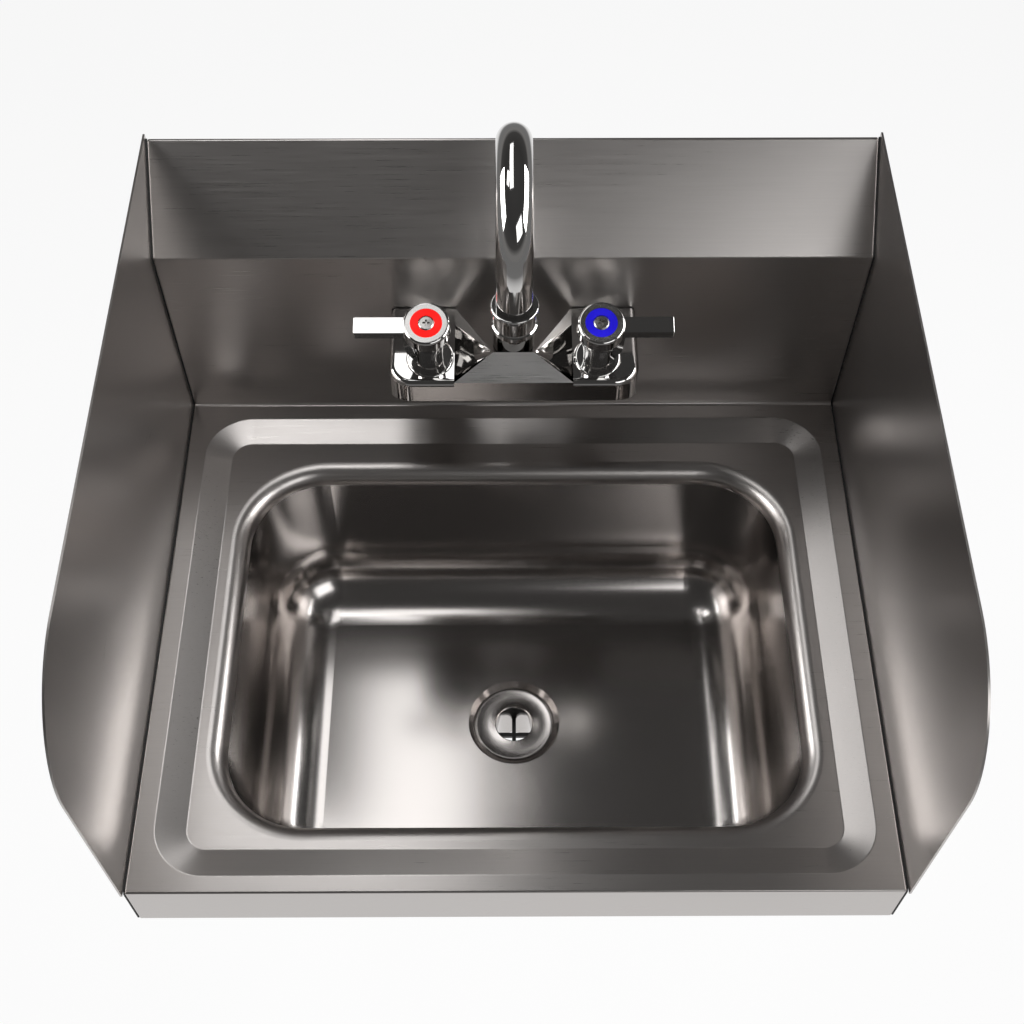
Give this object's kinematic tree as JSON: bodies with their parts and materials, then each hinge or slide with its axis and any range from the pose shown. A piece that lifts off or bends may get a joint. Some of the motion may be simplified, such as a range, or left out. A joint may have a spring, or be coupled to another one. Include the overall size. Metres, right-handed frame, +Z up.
{
  "type": "wall-hung hand sink",
  "caption": "Wall-hung stainless hand sink with drawn bowl, backsplash, side splashes, lever faucet with swivel gooseneck spout, and strainer drain.",
  "frame": {"origin": "on the wall plane, midway between the wall bracket's two screw holes", "axes": "+X to the user's right, +Y into the wall, +Z up"},
  "size_m": [0.4414, 0.3924, 0.4642],
  "materials": {
    "stainless": "hairline brushed stainless",
    "chrome": "polished chrome plate",
    "drain_steel": "polished stainless",
    "screw_steel": "plain steel",
    "zinc_steel": "zinc plated",
    "brass": "machined brass",
    "ceramic_white": "moulded housing",
    "red_plastic": "gloss",
    "blue_plastic": "gloss",
    "black_plastic": "moulded",
    "white_plastic": "moulded nylon",
    "rubber": "black rubber",
    "fibre": "pressed fibre"
  },
  "bodies": {
    "root": {"sink_top": "stainless", "bowl": "stainless", "left_side_splash": "stainless", "right_side_splash": "stainless", "faucet_body": "chrome", "hot_bonnet": "chrome", "cold_bonnet": "chrome", "spout_nut": "chrome", "drain_flange": "drain_steel", "left_splash_screws": "screw_steel", "right_splash_screws": "screw_steel", "left_splash_nuts": "screw_steel", "right_splash_nuts": "screw_steel", "wall_bracket": "zinc_steel", "hot_shank_washer": "zinc_steel", "cold_shank_washer": "zinc_steel", "hot_shank": "brass", "cold_shank": "brass", "hot_shank_locknut": "brass", "cold_shank_locknut": "brass", "drain_locknut": "brass", "hot_cartridge": "ceramic_white", "cold_cartridge": "ceramic_white", "drain_crossbar": "black_plastic", "left_splash_spacers": "white_plastic", "right_splash_spacers": "white_plastic", "hot_gasket": "rubber", "cold_gasket": "rubber", "drain_gasket": "rubber", "drain_fibre_washer": "fibre"},
    "hot_handle": {"hot_handle": "chrome", "hot_index": "red_plastic", "hot_handle_screw": "screw_steel", "hot_stem": "brass"},
    "cold_handle": {"cold_handle": "chrome", "cold_index": "blue_plastic", "cold_handle_screw": "screw_steel", "cold_stem": "brass"},
    "spout": {"spout_tube": "chrome", "spout_sleeve": "brass", "spout_o_rings": "rubber", "aerator_shell": "chrome", "aerator_washer": "rubber", "aerator_insert": "white_plastic"}
  },
  "joints": [
    {"name": "hot_handle_turn", "type": "hinge", "parent": "root", "child": "hot_handle", "pos_m": [-0.0508, -0.0919, -0.0386], "axis": [0, -0.2419, 0.9703], "range_deg": [0, 90]},
    {"name": "cold_handle_turn", "type": "hinge", "parent": "root", "child": "cold_handle", "pos_m": [0.0508, -0.0919, -0.0386], "axis": [0, -0.2419, 0.9703], "range_deg": [-90, 0]},
    {"name": "spout_swivel", "type": "hinge", "parent": "root", "child": "spout", "pos_m": [0, -0.0832, -0.0386], "axis": [0, 0, 1], "range_deg": [-90, 90]}
  ]
}
